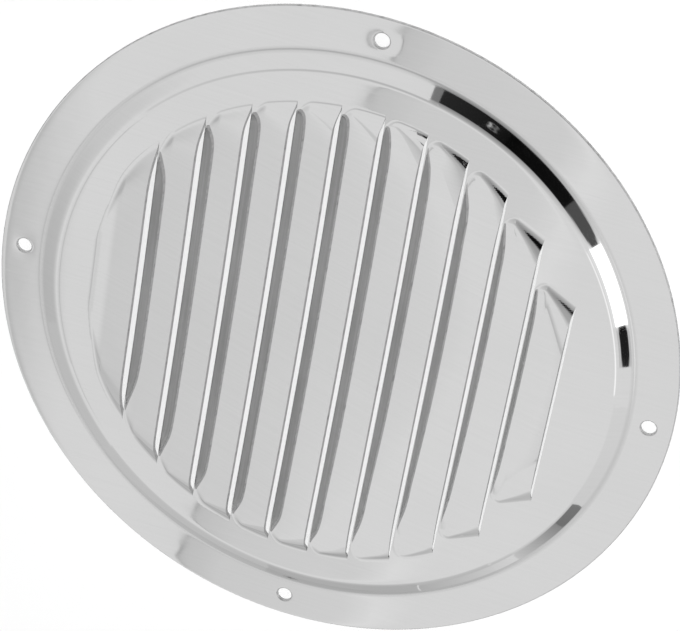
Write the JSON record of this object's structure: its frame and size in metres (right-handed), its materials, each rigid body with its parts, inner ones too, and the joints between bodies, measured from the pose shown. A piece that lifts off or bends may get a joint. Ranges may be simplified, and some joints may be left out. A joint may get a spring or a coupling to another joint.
{
  "type": "louvred vent plate",
  "caption": "Round vent plate pressed from one polished steel sheet: a flat flange with screw holes, a raised panel and parallel slits, each under a low hood.",
  "frame": {"origin": "centre of the round flange, on its back face", "axes": "+Z out of the front of the plate, +Y along the louvres, +X the way the mouths of the hoods face"},
  "size_m": [0.2, 0.2, 0.0079],
  "materials": {
    "polished_steel": "mirror polished front, plain rolled back, cut edges"
  },
  "bodies": {
    "root": {"vent_plate": "polished_steel"}
  },
  "joints": []
}
